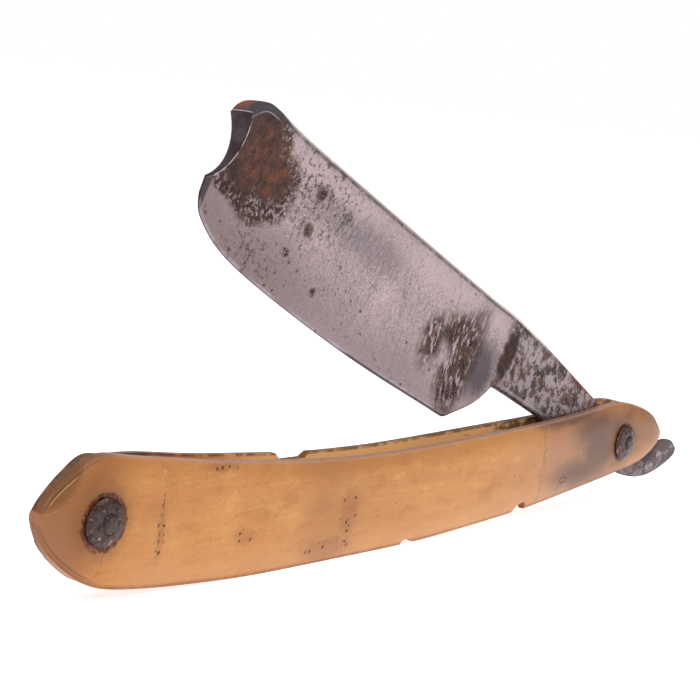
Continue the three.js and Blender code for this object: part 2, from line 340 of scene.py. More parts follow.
def horn_scale(name, side, shorter, dip):
    rows = [row for row, _ in SCALE_SECTION]
    block, grid = station_block(name, SCALE_STATIONS, rows)

    def low_at(x):
        return curve_at(SCALE_BOTTOM, x)

    def high_at(x):
        return curve_at(SCALE_TOP, x) - (worn_dip(x) if dip else 0)

    keep_rims(block, grid, rows, low_at, high_at, SCALE_STATIONS)
    begin(block)
    count = len(SCALE_STATIONS)
    for r, (row, share) in enumerate(SCALE_SECTION):
        take(grid, [(s, r, 1) for s in range(count)])
        bpy.ops.transform.translate(value=(0, share - 1, 0))
    take(grid, [(s, r, -1) for s in range(count) for r in range(len(rows))])
    bpy.ops.transform.translate(value=(0, 1, 0))
    for s, x in enumerate(SCALE_STATIONS):
        low, high = low_at(x), high_at(x)
        worn = shorter * ease((3.4 - x) / 11)
        take(grid, [(s, r, d) for r in range(len(rows)) for d in (-1, 1)])
        bpy.ops.transform.resize(value=(1, scale_thickness(x + worn), high - low),
                                 center_override=(x, 0, 0))
        bpy.ops.transform.translate(value=(worn, inner_face(x + worn), low))
    end()
    add_modifier(block, "BEVEL", width=0.22, segments=2, limit_method="ANGLE",
                 angle_limit=math.radians(50))
    add_modifier(block, "SUBSURF", levels=2, render_levels=2)
    if side < 0:
        begin(block)
        bpy.ops.mesh.select_all(action="SELECT")
        bpy.ops.transform.resize(value=(1, -1, 1), center_override=(0, 0, 0))
        bpy.ops.mesh.normals_make_consistent(inside=False)
        end()
    for x in (0, PIN_SPACING):
        cut_away(block, rod_cutter(x, 0, PIN_HOLE_R))
    return block


front_scale = horn_scale("front_scale_horn", -1, 0.35, False)
cut_away(front_scale, rod_cutter(63.9, -10.55, 1.9, math.radians(-12), 0.55, 22))
cut_away(front_scale, rod_cutter(94.3, -8.75, 2.1, math.radians(24), 0.62, 22))
back_scale = horn_scale("back_scale_horn", 1, 1.15, True)
# The dip broken out of the back scale: sloping ends and a nearly flat floor
clear_selection()
bpy.ops.mesh.primitive_cube_add(size=1, location=(41, 0, 5.6), scale=(5.2, 20, 5))
dip_cutter = named("cutter")
bake_place(dip_cutter)
begin(dip_cutter)
select_faces(lambda f: f.normal.z > 0.9)
bpy.ops.transform.resize(value=(3.2, 1, 1), center_override=(41, 0, 8.1))
select_faces(lambda f: f.normal.z < -0.9)
bpy.ops.mesh.subdivide(number_cuts=3)
end()
cut_away(back_scale, dip_cutter)
for horn in (front_scale, back_scale):
    settle(horn, WEDGE_PIN)
    smooth_by_angle(horn, 40)

# ---------------------------------------------------------------- blade


def blade_half(x, fraction, depth):
    """Half thickness: hollow ground blade, then flat tapering shank, then rounded tail."""
    is_blade = ease((-x - 43.5) / 8)
    is_tail = ease((x - 4) / 8)
    narrow = lerp(1, 0.62, ease((-x - 12) / 22))
    shank = curve_at(SHANK, x) * lerp(1, narrow, fraction)
    if fraction == 1:
        shank *= 0.72
    rounded = TANG_HALF * max(0.5, math.sqrt(1 - min(1, abs(2 * fraction - 1) ** 3.2)))
    body = lerp(lerp(shank, min(rounded, shank), is_tail), curve_at(GRIND, depth), is_blade)
    return max(0.05, body)


def blade_low(x):
    return curve_at(BLADE_BOTTOM, x)


def blade_high(x):
    return curve_at(BLADE_TOP, x)


rows_up = [1 - fraction for fraction in reversed(BLADE_ROWS)]
blade, grid = station_block("blade_steel", BLADE_STATIONS, rows_up)
keep_rims(blade, grid, rows_up, blade_low, blade_high, BLADE_STATIONS)
begin(blade)
for s, x in enumerate(BLADE_STATIONS):
    low, high = blade_low(x), blade_high(x)
    for r, row in enumerate(rows_up):
        fraction = 1 - row
        z = lerp(low, high, row)
        half = blade_half(x, fraction, max(0, SPINE_Z - z))
        crown = SPINE_CROWN.get(fraction, 1)
        take(grid, [(s, r, -1), (s, r, 1)])
        bpy.ops.transform.resize(value=(1, half * crown, 1), center_override=(x, 0, row))
    take(grid, [(s, r, d) for r in range(len(rows_up)) for d in (-1, 1)])
    bpy.ops.transform.resize(value=(1, 1, high - low), center_override=(x, 0, 0))
    bpy.ops.transform.translate(value=(0, 0, low))
end()
add_modifier(blade, "SUBSURF", levels=2, render_levels=2)
cut_away(blade, rod_cutter(-122.6, -1.4, 6.9, sides=96))
cut_away(blade, rod_cutter(0, 0, PIN_HOLE_R))
settle(blade, PIVOT, OPEN_ANGLE)
smooth_by_angle(blade, 35)

# ---------------------------------------------------------------- collars and pins


def collar_blank():
    """A domed iron washer, seat down on y = 0, its dome towards -Y."""
    clear_selection()
    bpy.ops.mesh.primitive_cylinder_add(vertices=40, radius=COLLAR_R, depth=0.22,
                                        location=(0, -0.11, 0), rotation=(math.pi / 2, 0, 0))
    collar = named("collar_blank")
    bake_place(collar)
    begin(collar)
    select_faces(lambda f: f.normal.y < -0.9)
    radius, height = COLLAR_R, 0.22
    for next_radius, next_height in ((2.96, 0.42), (2.62, 0.68), (2.18, 0.88), (1.74, 1.0),
                                     (1.42, 1.05), (1.3, 0.98), (1.12, 0.93)):
        bpy.ops.mesh.extrude_region_move(
            TRANSFORM_OT_translate={"value": (0, height - next_height, 0)})
        bpy.ops.transform.resize(
            value=(next_radius / radius, 1, next_radius / radius),
            center_override=(0, -next_height, 0))
        radius, height = next_radius, next_height
    end()
    add_modifier(collar, "SUBSURF", levels=2, render_levels=2)
    return collar


def pin_blank(seat):
    """A straight rod along Y with a hammered head at each end."""
    clear_selection()
    bpy.ops.mesh.primitive_cylinder_add(vertices=24, radius=PIN_R, depth=2 * seat,
                                        location=(0, 0, 0), rotation=(math.pi / 2, 0, 0))
    pin = named("pin_blank")
    bake_place(pin)
    begin(pin)
    for side in (-1, 1):
        select_faces(lambda f: f.normal.y * side > 0.9)
        radius, at = PIN_R, seat
        for next_radius, next_at in ((1.16, seat + 0.06), (1.2, seat + 0.2),
                                     (1.0, seat + 0.36), (0.62, seat + 0.42)):
            bpy.ops.mesh.extrude_region_move(
                TRANSFORM_OT_translate={"value": (0, side * (next_at - at), 0)})
            bpy.ops.transform.resize(
                value=(next_radius / radius, 1, next_radius / radius),
                center_override=(0, side * next_at, 0))
            radius, at = next_radius, next_at
    end()
    add_modifier(pin, "SUBSURF", levels=2, render_levels=2)
    return pin


def batter(obj, size, depth):
    """Uneven surface, as forged and rusted."""
    texture = bpy.data.textures.new("batter", "CLOUDS")
    texture.noise_scale = size
    texture.noise_depth = 3
    add_modifier(obj, "DISPLACE", texture=texture, strength=depth, mid_level=0.5,
                 texture_coords="GLOBAL")


def copy_of(source, name):
    copy = source.copy()
    copy.data = source.data.copy()
    bpy.context.collection.objects.link(copy)
    copy.name = name
    copy.data.name = name
    return copy


iron_pieces = []
collar_source = collar_blank()
for end_name, origin, seat, slant in (("wedge", WEDGE_PIN, WEDGE_SEAT, WEDGE_SLANT),
                                      ("pivot", PIVOT, PIVOT_SEAT, 0)):
    for face_name, side in (("front", -1), ("back", 1)):
        collar = copy_of(collar_source, f"{end_name}_collar_{face_name}_iron")
        turn = Matrix.Rotation(0 if side < 0 else math.pi, 4, "Z")
        lean = Matrix.Rotation(side * slant, 4, "Z")
        collar.matrix_world = (Matrix.Translation(origin + Vector((0, side * seat * MM, 0)))
                               @ lean @ turn @ Matrix.Scale(MM, 4))
        bake_place(collar)
        batter(collar, 0.0009, 0.00016)
        smooth_by_angle(collar, 50)
        iron_pieces.append((collar, f"{end_name}_collar_{face_name}", "collar_iron"))
    rod = pin_blank(seat + COLLAR_H - 0.06)
    rod.name = f"{end_name}_pin_iron"
    rod.data.name = rod.name
    settle(rod, origin)
    batter(rod, 0.0006, 0.00012)
    smooth_by_angle(rod, 50)
    iron_pieces.append((rod, f"{end_name}_pin", "pin_iron"))
bpy.data.objects.remove(collar_source)

# ---------------------------------------------------------------- material helpers


def add(tree, kind, inputs=None, **settings):
    node = tree.nodes.new(kind)
    for key, value in settings.items():
        setattr(node, key, value)
    for key, value in (inputs or {}).items():
        if isinstance(value, bpy.types.NodeSocket):
            tree.links.new(value, node.inputs[key])
        else:
            node.inputs[key].default_value = value
    return node


def calc(tree, operation, a, b=0.0, clamp=False):
    return add(tree, "ShaderNodeMath", {0: a, 1: b}, operation=operation,
               use_clamp=clamp).outputs[0]


def step(tree, value, low, high, to_low=0.0, to_high=1.0):
    """Smooth step from to_low at low to to_high at high."""
    return add(tree, "ShaderNodeMapRange",
               {"Value": value, "From Min": low, "From Max": high, "To Min": to_low,
                "To Max": to_high}, interpolation_type="SMOOTHSTEP").outputs["Result"]


def noise(tree, vector, scale, detail=4.0, roughness=0.55, distortion=0.0):
    return add(tree, "ShaderNodeTexNoise",
               {"Vector": vector, "Scale": scale, "Detail": detail, "Roughness": roughness,
                "Distortion": distortion}).outputs["Fac"]


def blend(tree, amount, a, b, kind="MIX"):
    return add(tree, "ShaderNodeMix", {0: amount, 6: a, 7: b}, data_type="RGBA",
               blend_type=kind).outputs[2]


def moved(tree, vector, scale=(1, 1, 1), turn=(0, 0, 0), shift=(0, 0, 0)):
    return add(tree, "ShaderNodeMapping",
               {"Vector": vector, "Location": shift, "Rotation": turn,
                "Scale": scale}).outputs["Vector"]


def all_of(tree, *masks):
    result = masks[0]
    for mask in masks[1:]:
        result = calc(tree, "MULTIPLY", result, mask)
    return result


def any_of(tree, *masks):
    result = masks[0]
    for mask in masks[1:]:
        result = calc(tree, "MAXIMUM", result, mask)
    return result


def rgb(red, green, blue):
    """A colour by its 0 to 255 parts."""
    parts = [c / 255 for c in (red, green, blue)]
    return tuple(c / 12.92 if c <= 0.04045 else ((c + 0.055) / 1.055) ** 2.4
                 for c in parts) + (1.0,)


def new_group(name, inputs, outputs):
    tree = bpy.data.node_groups.new(name, "ShaderNodeTree")
    for socket_name, kind, default in inputs:
        socket = tree.interface.new_socket(socket_name, in_out="INPUT", socket_type=kind)
        if default is not None:
            socket.default_value = default
    for socket_name, kind in outputs:
        tree.interface.new_socket(socket_name, in_out="OUTPUT", socket_type=kind)
    entry = tree.nodes.new("NodeGroupInput")
    exit_node = tree.nodes.new("NodeGroupOutput")
    return tree, entry.outputs, exit_node.inputs


def use(tree, group, **inputs):
    """Places a shared group; its inputs are given by name, with _ for a space."""
    node = add(tree, "ShaderNodeGroup", node_tree=group)
    for key, value in inputs.items():
        socket = node.inputs[key.replace("_", " ")]
        if isinstance(value, bpy.types.NodeSocket):
            tree.links.new(value, socket)
        else:
            socket.default_value = value
    return node.outputs


FLOAT = "NodeSocketFloat"
VECTOR = "NodeSocketVector"
COLOR = "NodeSocketColor"

# Patch: a blot with a ragged edge about a centre
patch_group, given, out = new_group(
    "ragged patch",
    [("Vector", VECTOR, None), ("Centre", VECTOR, None), ("Radii", VECTOR, (1, 1, 1)),
     ("Softness", FLOAT, 0.2), ("Raggedness", FLOAT, 0.5), ("Grain", FLOAT, 1.0)],
    [("Mask", FLOAT)])
t = patch_group
away = add(t, "ShaderNodeVectorMath", {0: given["Vector"], 1: given["Centre"]},
           operation="SUBTRACT").outputs[0]
away = add(t, "ShaderNodeVectorMath", {0: away, 1: given["Radii"]},
           operation="DIVIDE").outputs[0]
away = add(t, "ShaderNodeVectorMath", {0: away}, operation="LENGTH").outputs["Value"]
wobble = calc(t, "SUBTRACT", noise(t, given["Vector"], given["Grain"], 6.0, 0.65), 0.5)
away = calc(t, "ADD", away, calc(t, "MULTIPLY", wobble, calc(t, "MULTIPLY", given["Raggedness"], 2.0)))
mask = step(t, away, calc(t, "SUBTRACT", 1.0, given["Softness"]),
            calc(t, "ADD", 1.0, given["Softness"]), 1.0, 0.0)
t.links.new(mask, out["Mask"])

# Pits: small irregular hollows, each cell with a pit or none
pits_group, given, out = new_group(
    "pits",
    [("Vector", VECTOR, None), ("Spacing", FLOAT, 1.0), ("Size", FLOAT, 0.3),
     ("Share", FLOAT, 0.3), ("Irregular", FLOAT, 0.3)],
    [("Mask", FLOAT)])
t = pits_group
shaken = add(t, "ShaderNodeTexNoise", {"Vector": given["Vector"], "Scale": 2.3, "Detail": 3.0})
shaken = add(t, "ShaderNodeVectorMath", {0: shaken.outputs["Color"], 1: (0.5, 0.5, 0.5)},
             operation="SUBTRACT").outputs[0]
shaken = add(t, "ShaderNodeVectorMath", {0: shaken, "Scale": given["Irregular"]},
             operation="SCALE").outputs[0]
shaken = add(t, "ShaderNodeVectorMath", {0: given["Vector"], 1: shaken},
             operation="ADD").outputs[0]
cells = add(t, "ShaderNodeTexVoronoi",
            {"Vector": shaken, "Scale": calc(t, "DIVIDE", 1.0, given["Spacing"])})
luck = add(t, "ShaderNodeSeparateColor", {"Color": cells.outputs["Color"]}).outputs
size = calc(t, "MULTIPLY", given["Size"], step(t, luck[1], 0.0, 1.0, 0.45, 1.15))
hollow = step(t, calc(t, "DIVIDE", cells.outputs["Distance"], size), 0.6, 1.0, 1.0, 0.0)
chosen = calc(t, "LESS_THAN", luck[0], given["Share"])
t.links.new(calc(t, "MULTIPLY", hollow, chosen), out["Mask"])

# Rust: its colour, from near black through brown to orange
rust_group, given, out = new_group(
    "rust colour", [("Vector", VECTOR, None), ("Grain", FLOAT, 1.0), ("Orange", FLOAT, 0.5)],
    [("Color", COLOR), ("Height", FLOAT)])
t = rust_group
fine = noise(t, given["Vector"], calc(t, "MULTIPLY", given["Grain"], 3.1), 8.0, 0.7)
broad = noise(t, given["Vector"], calc(t, "MULTIPLY", given["Grain"], 0.55), 4.0, 0.6)
level = calc(t, "ADD", calc(t, "MULTIPLY", fine, 0.9), calc(t, "MULTIPLY", broad, 0.75))
level = calc(t, "ADD", level, calc(t, "SUBTRACT", given["Orange"], 0.82))
shades = add(t, "ShaderNodeValToRGB", {"Fac": level})
ramp = shades.color_ramp
ramp.elements[0].position = 0.2
ramp.elements[0].color = rgb(28, 19, 18)
ramp.elements[1].position = 0.92
ramp.elements[1].color = rgb(164, 98, 52)
for position, shade in ((0.4, rgb(52, 36, 33)), (0.56, rgb(80, 52, 42)),
                        (0.72, rgb(116, 64, 34))):
    ramp.elements.new(position).color = shade
t.links.new(shades.outputs["Color"], out["Color"])
t.links.new(fine, out["Height"])

# Streaks: fine lines along one direction, by a stretched grain
streak_group, given, out = new_group(
    "streaks", [("Vector", VECTOR, None), ("Stretch", VECTOR, (1, 1, 1)),
                ("Contrast", FLOAT, 1.0)],
    [("Value", FLOAT)])
t = streak_group
drawn = add(t, "ShaderNodeVectorMath", {0: given["Vector"], 1: given["Stretch"]},
            operation="MULTIPLY").outputs[0]
lines = calc(t, "SUBTRACT", noise(t, drawn, 1.0, 5.0, 0.6), 0.5)
t.links.new(calc(t, "ADD", calc(t, "MULTIPLY", lines, given["Contrast"]), 0.5), out["Value"])


def new_material(name):
    material = bpy.data.materials.new(name)
    material.use_nodes = True
    tree = material.node_tree
    tree.nodes.clear()
    output = tree.nodes.new("ShaderNodeOutputMaterial")
    shader = tree.nodes.new("ShaderNodeBsdfPrincipled")
    tree.links.new(shader.outputs[0], output.inputs["Surface"])
    return material, tree, shader


def finish_shader(tree, shader, color, roughness, height, depth, metallic=None):
    tree.links.new(color, shader.inputs["Base Color"])
    tree.links.new(roughness, shader.inputs["Roughness"])
    bump = add(tree, "ShaderNodeBump", {"Height": height, "Distance": depth, "Strength": 1.0})
    tree.links.new(bump.outputs["Normal"], shader.inputs["Normal"])
    if metallic is not None:
        tree.links.new(metallic, shader.inputs["Metallic"])


def about(tree, origin, turn=0):
    """Object place in millimetres about a pin, turned about Y."""
    rotation = Matrix.Rotation(turn, 3, "Y")
    shift = -(rotation @ (origin / MM))
    place = tree.nodes.new("ShaderNodeTexCoord").outputs["Object"]
    return moved(tree, place, (1 / MM,) * 3, (0, turn, 0), tuple(shift))


def rims_of(tree):
    """Distances to the upper and the lower rim, in millimetres."""
    layer = add(tree, "ShaderNodeUVMap", uv_map="rims").outputs["UV"]
    parts = add(tree, "ShaderNodeSeparateXYZ", {0: layer}).outputs
    return calc(tree, "MULTIPLY", parts[0], 10.0), calc(tree, "MULTIPLY", parts[1], 10.0)


def patch(tree, vector, x, z, rx, rz, soft=0.2, ragged=0.4, grain=0.5):
    return use(tree, patch_group, Vector=vector, Centre=(x, 0, z), Radii=(rx, 40, rz),
               Softness=soft, Raggedness=ragged, Grain=grain)["Mask"]


# ---------------------------------------------------------------- horn

def horn_material(name, outer_marks):
    material, tree, shader = new_material(name)
    place = about(tree, WEDGE_PIN)
    axes = add(tree, "ShaderNodeSeparateXYZ", {0: place}).outputs
    x, y, z = axes[0], axes[1], axes[2]
    to_top, to_bottom = rims_of(tree)
    inside = add(tree, "ShaderNodeSeparateXYZ", {
        0: add(tree, "ShaderNodeUVMap", uv_map="inner").outputs["UV"]}).outputs[0]

    cloudy = noise(tree, moved(tree, place, (0.045, 0.2, 0.2)), 1.0, 3.0, 0.5)
    color = blend(tree, step(tree, cloudy, 0.35, 0.65), rgb(213, 158, 98), rgb(204, 148, 96))
    grain = use(tree, streak_group, Vector=place, Stretch=(0.07, 1.6, 1.9), Contrast=1.3)[0]
    color = blend(tree, step(tree, grain, 0.38, 0.62, 0.0, 0.18), color, rgb(226, 176, 118))
    mottled = noise(tree, moved(tree, place, (0.16, 0.3, 0.34)), 1.0, 6.0, 0.6)
    color = blend(tree, step(tree, mottled, 0.5, 0.66, 0, 0.5), color, rgb(184, 126, 72))
    color = blend(tree, step(tree, mottled, 0.45, 0.32, 0, 0.36), color, rgb(236, 188, 126))
    dusty = noise(tree, place, 1.5, 6.0, 0.7)
    color = blend(tree, step(tree, dusty, 0.52, 0.66, 0, 0.24), color, rgb(150, 100, 60))
    scratched = use(tree, streak_group, Vector=moved(tree, place, turn=(0, 0.45, 0)),
                    Stretch=(0.24, 1, 7.5), Contrast=1.8)[0]
    color = blend(tree, step(tree, scratched, 0.7, 0.86, 0, 0.4), color, rgb(246, 206, 152))
    scratched = use(tree, streak_group, Vector=moved(tree, place, turn=(0, -1.2, 0)),
                    Stretch=(0.3, 1, 6.5), Contrast=1.8)[0]
    color = blend(tree, step(tree, scratched, 0.72, 0.88, 0, 0.35), color, rgb(138, 90, 54))
    fine = use(tree, streak_group, Vector=place, Stretch=(0.16, 5, 6.5), Contrast=1.6)[0]
    color = blend(tree, step(tree, fine, 0.56, 0.78, 0.0, 0.22), color, rgb(172, 116, 70))
    # honey in the middle, mauve brown to the butt, cooler past the cross line
    color = blend(tree, step(tree, x, 26, -2, 0, 0.4), color, rgb(186, 126, 78))
    color = blend(tree, step(tree, calc(tree, "ADD", x, calc(tree, "MULTIPLY", z, -0.4)),
                             5, -4, 0, 0.85), color, rgb(146, 98, 62))
    color = blend(tree, step(tree, calc(tree, "ADD", x, calc(tree, "MULTIPLY", z, 0.5)),
                             -4, -10, 0, 0.6), color, rgb(158, 118, 100))
    color = blend(tree, step(tree, calc(tree, "ABSOLUTE", calc(tree, "SUBTRACT", x, 43)),
                             12, 2, 0, 0.5), color, rgb(176, 124, 86))
    color = blend(tree, step(tree, x, 84, 96, 0, 0.35), color, rgb(196, 146, 116))
    color = blend(tree, step(tree, x, 97, 103, 0, 0.7), color, rgb(172, 130, 110))
    color = blend(tree, step(tree, x, 121, 129, 0, 0.85), color, rgb(156, 114, 86))
    color = blend(tree, all_of(tree, step(tree, x, 118, 128), step(tree, mottled, 0.48, 0.6), 0.4),
                  color, rgb(112, 78, 54))
    color = blend(tree, all_of(tree, step(tree, to_bottom, 6.0, 0.6, 0, 0.55),
                               step(tree, x, 0, 8)), color, rgb(214, 164, 122))
    color = blend(tree, step(tree, to_top, 2.6, 0.4, 0, 0.4), color, rgb(176, 124, 88))
    color = blend(tree, 1.0, color, (0.82, 0.715, 0.565, 1.0), "MULTIPLY")
    smoke = any_of(tree, patch(tree, place, 117, 2.6, 7.5, 3.4, 0.6, 0.45, 0.25),
                   patch(tree, place, 117.5, -1.2, 5.2, 5.0, 0.6, 0.5, 0.35),
                   patch(tree, place, 113, -4.2, 9, 2.6, 0.7, 0.5, 0.3),
                   patch(tree, place, 107, 5.4, 11, 1.5, 0.5, 0.5, 0.4))
    color = blend(tree, calc(tree, "MULTIPLY", smoke, 0.8), color, rgb(90, 66, 60))
    height = calc(tree, "MULTIPLY", fine, 0.012)
    roughness = step(tree, cloudy, 0.3, 0.7, 0.28, 0.4)

    rust = use(tree, rust_group, Vector=place, Grain=0.8, Orange=0.62)
    if outer_marks:
        outside = calc(tree, "SUBTRACT", 1.0, inside)
        # cross line and small cracks
        waver = calc(tree, "MULTIPLY", calc(tree, "SUBTRACT", noise(tree, place, 0.5), 0.5), 1.4)
        for at_x, lean, width, low, high, strength, shade in (
                (99.4, 0.0, 0.75, -9, 6, 0.34, rgb(96, 76, 66)),
                (9.6, 0.05, 0.2, -5.8, 3.2, 0.8, rgb(70, 40, 32)),
                (1.9, 0.28, 0.22, -9, -3.4, 0.4, rgb(120, 84, 64))):
            line = calc(tree, "SUBTRACT", calc(tree, "SUBTRACT", x, at_x),
                        calc(tree, "ADD", calc(tree, "MULTIPLY", z, lean), waver))
            line = step(tree, calc(tree, "ABSOLUTE", line), width, width * 0.3)
            span = all_of(tree, step(tree, z, low, low + 1), step(tree, z, high, high - 1))
            broken = step(tree, noise(tree, place, 1.6, 4.0), 0.44, 0.56)
            line = all_of(tree, line, span, broken, outside)
            color = blend(tree, calc(tree, "MULTIPLY", line, strength), color, shade)
            height = calc(tree, "SUBTRACT", height, calc(tree, "MULTIPLY", line, 0.03))
        # facet where the outer face was rubbed down at the butt, darkened as painted shade, with a painted
        # highlight along its pale border
        roundover_shade = patch(tree, place, -10.4, 8.4, 7.4, 6.9, 0.09, 0.02, 0.2)
        roundover_highlight = all_of(tree, patch(tree, place, -10.4, 8.4, 7.75, 7.25, 0.02, 0.02, 0.2), calc(
            tree, "SUBTRACT", 1.0, patch(tree, place, -10.4, 8.4, 7.6, 7.1, 0.02, 0.02, 0.2)))
        color = blend(tree, all_of(tree, roundover_shade, outside, step(tree, z, 9.2, 3.4, 0.72, 0.5)),
                      color, rgb(88, 54, 22))
        color = blend(tree, all_of(tree, roundover_highlight, outside, step(tree, noise(tree, place, 0.6),
                                                               0.4, 0.6, 0, 0.4)),
                      color, rgb(176, 132, 88))
        # painted highlight: a pale line near the upper rim at the butt, where the rounded edge catches the
        # light
        butt_edge_highlight = all_of(tree, outside, step(tree, to_top, 0.88, 0.84), step(tree, to_top, 0.76, 0.8),
                       step(tree, x, -3.6, -4.8), step(tree, x, -8.4, -7.4))
        color = blend(tree, calc(tree, "MULTIPLY", butt_edge_highlight, 0.55), color, rgb(214, 188, 158))
        # painted shade: a fine dark line that follows the rim round the butt
        butt_rim_shade = any_of(
            tree, all_of(tree, step(tree, to_top, 0.4, 0.5), step(tree, to_top, 0.7, 0.6),
                         step(tree, x, -8.9, -8.4)),
            all_of(tree, step(tree, to_bottom, 0.5, 0.65), step(tree, to_bottom, 0.9, 0.75),
                   step(tree, x, -8.9, -8.4)))
        color = blend(tree, all_of(tree, butt_rim_shade, outside, step(tree, x, 1.5, -2.5, 0, 0.45)),
                      color, rgb(70, 46, 36))
        # pits in clusters, dark or rusty
        flat = moved(tree, place, (1, 0, 1))
        coarse = use(tree, pits_group, Vector=flat, Spacing=0.75, Size=0.36, Share=0.8,
                     Irregular=0.55)[0]
        clusters = any_of(tree, patch(tree, place, 43.2, -8.3, 5.4, 1.5, 0.35, 0.5, 0.7),
                          patch(tree, place, 47.3, -3.6, 1.8, 3.4, 0.5, 0.8, 0.7),
                          patch(tree, place, 25, -4.4, 2.4, 1.0, 0.5, 0.8, 0.7),
                          patch(tree, place, 21, 5.2, 3.4, 0.9, 0.4, 0.8, 0.7),
                          patch(tree, place, 9.7, -2.6, 0.7, 3.6, 0.4, 0.7, 0.7))
        color = blend(tree, all_of(tree, clusters, outside, 0.34), color, rgb(132, 78, 46))
        pits = all_of(tree, coarse, clusters)
        pale = all_of(tree, use(tree, pits_group, Vector=flat, Spacing=0.7, Size=0.42,
                                Share=0.8, Irregular=0.9)[0],
                      patch(tree, place, 15.8, 4.6, 8.5, 1.2, 0.35, 0.6, 0.7), outside)
        color = blend(tree, calc(tree, "MULTIPLY", pale, 0.6), color, rgb(204, 152, 126))
        height = calc(tree, "SUBTRACT", height, calc(tree, "MULTIPLY", pale, 0.06))
        few = all_of(tree, use(tree, pits_group, Vector=place, Spacing=3.2, Size=0.055,
                               Share=0.3, Irregular=0.6)[0], step(tree, x, 3, 8))
        pits = all_of(tree, any_of(tree, pits, few), outside)
        color = blend(tree, calc(tree, "MULTIPLY", pits, 0.9), color, rgb(74, 38, 26))
        height = calc(tree, "SUBTRACT", height, calc(tree, "MULTIPLY", pits, 0.12))
        mark = all_of(tree, patch(tree, place, 106.8, -4.8, 1.15, 0.62, 0.12, 0.15, 0.8), outside)
        heart = patch(tree, place, 106.8, -4.8, 0.7, 0.3, 0.25, 0.15, 0.8)
        color = blend(tree, calc(tree, "MULTIPLY", mark, 0.75), color, rgb(84, 54, 30))
        color = blend(tree, all_of(tree, mark, heart, 0.7), color, rgb(140, 104, 72))
    # stained inner face, worst near the shank and along the upper rim
    stained = noise(tree, moved(tree, place, (0.35, 0.6, 0.7)), 1.0, 5.0, 0.65)
    # painted light: the inner face is lightened to a pale tan, standing in for light glowing through the horn
    # in the gap
    color = blend(tree, calc(tree, "MULTIPLY", inside, 0.9), color, rgb(250, 208, 150))
    color = blend(tree, all_of(tree, inside, step(tree, x, 36, 16, 0, 0.7)), color,
                  rgb(200, 92, 22))
    rusted = any_of(tree, step(tree, x, 76, 100, 0.0, 0.3), step(tree, to_top, 1.0, 0.2, 0, 0.1),
                    step(tree, x, 30, 10, 0, 0.2))
    blotches = step(tree, calc(tree, "ADD", stained, rusted), 0.68, 0.84)
    color = blend(tree, all_of(tree, inside, blotches, 0.8), color,
                  blend(tree, 1.0, rust["Color"], (0.95, 0.62, 0.45, 1), "MULTIPLY"))
    # rust that crept into the horn around each collar
    for at_x in (0, PIN_SPACING):
        size = 3.62 if at_x == 0 else 3.3
        ring = patch(tree, place, at_x + 0.1, -0.12, size, size + 0.1, 0.05, 0.15, 1.0)
        halo = patch(tree, place, at_x, 0, 4.5, 4.5, 0.3, 0.3, 0.5)
        color = blend(tree, calc(tree, "MULTIPLY", halo, 0.4), color, rgb(98, 54, 26))
        ring_rust = use(tree, rust_group, Vector=place, Grain=1.3, Orange=0.56)
        flecks = step(tree, noise(tree, place, 2.2, 4.0, 0.7), 0.5, 0.6, 0, 0.75)
        ring_shade = blend(tree, flecks, blend(tree, 1.0, ring_rust["Color"],
                                               (0.8, 0.5, 0.36, 1), "MULTIPLY"),
                           rgb(150, 84, 38))
        color = blend(tree, calc(tree, "MULTIPLY", ring, 0.96), color, ring_shade)
        height = calc(tree, "ADD", height, calc(tree, "MULTIPLY", ring, 0.03))
    if not outer_marks:
        dark_rim = all_of(tree, step(tree, to_top, 0.5, 0.1),
                          step(tree, noise(tree, place, 0.45, 4.0), 0.36, 0.55))
        color = blend(tree, calc(tree, "MULTIPLY", dark_rim, 0.8), color, rgb(74, 40, 30))
    # painted highlight along the upper rim, pale but darker at the butt; orange brown lower rim
    rim_break = step(tree, noise(tree, place, 0.8, 3.0), 0.3, 0.6, 0.55, 1.0)
    color = blend(tree, all_of(tree, step(tree, to_top, 0.42, 0.16), rim_break,
                               0.6 if outer_marks else 0.2),
                  color, blend(tree, step(tree, x, 4, -2), rgb(168, 134, 118), rgb(112, 76, 56)))
    color = blend(tree, all_of(tree, step(tree, to_bottom, 0.7, 0.15), rim_break, 0.75),
                  color, rgb(132, 76, 38))
    finish_shader(tree, shader, color, roughness, height, 0.001)
    shader.inputs["Subsurface Weight"].default_value = 0.08
    shader.inputs["Subsurface Radius"].default_value = (1.0, 0.5, 0.2)
    shader.inputs["Subsurface Scale"].default_value = 0.0015
    shader.inputs["Specular IOR Level"].default_value = 0.2
    shader.inputs["Coat Weight"].default_value = 0.03
    shader.inputs["Coat Roughness"].default_value = 0.25
    return material


front_scale.data.materials.clear()
front_scale.data.materials.append(horn_material("front_horn", True))
back_scale.data.materials.clear()
back_scale.data.materials.append(horn_material("back_horn", False))

# ---------------------------------------------------------------- blade steel

steel, tree, shader = new_material("blade_steel")
place = about(tree, PIVOT, -OPEN_ANGLE)
axes = add(tree, "ShaderNodeSeparateXYZ", {0: place}).outputs
x, y, z = axes[0], axes[1], axes[2]
to_spine, to_edge = rims_of(tree)

cloud = noise(tree, moved(tree, place, (0.1, 0.3, 0.12)), 1.0, 4.0, 0.55)
color = blend(tree, step(tree, cloud, 0.35, 0.65), rgb(160, 143, 144), rgb(175, 156, 158))
across = use(tree, streak_group, Vector=place, Stretch=(2.6, 1, 0.5), Contrast=1.6)[0]
color = blend(tree, step(tree, across, 0.42, 0.72, 0, 0.24), color, rgb(118, 102, 104))
hair = use(tree, streak_group, Vector=place, Stretch=(6.5, 2, 1.3), Contrast=2.0)[0]
color = blend(tree, step(tree, hair, 0.5, 0.85, 0, 0.36), color, rgb(96, 82, 84))
speckle = noise(tree, place, 3.4, 7.0, 0.75)
color = blend(tree, step(tree, speckle, 0.5, 0.62, 0, 0.62), color, rgb(78, 62, 64))
color = blend(tree, step(tree, speckle, 0.46, 0.36, 0, 0.4), color, rgb(206, 190, 192))
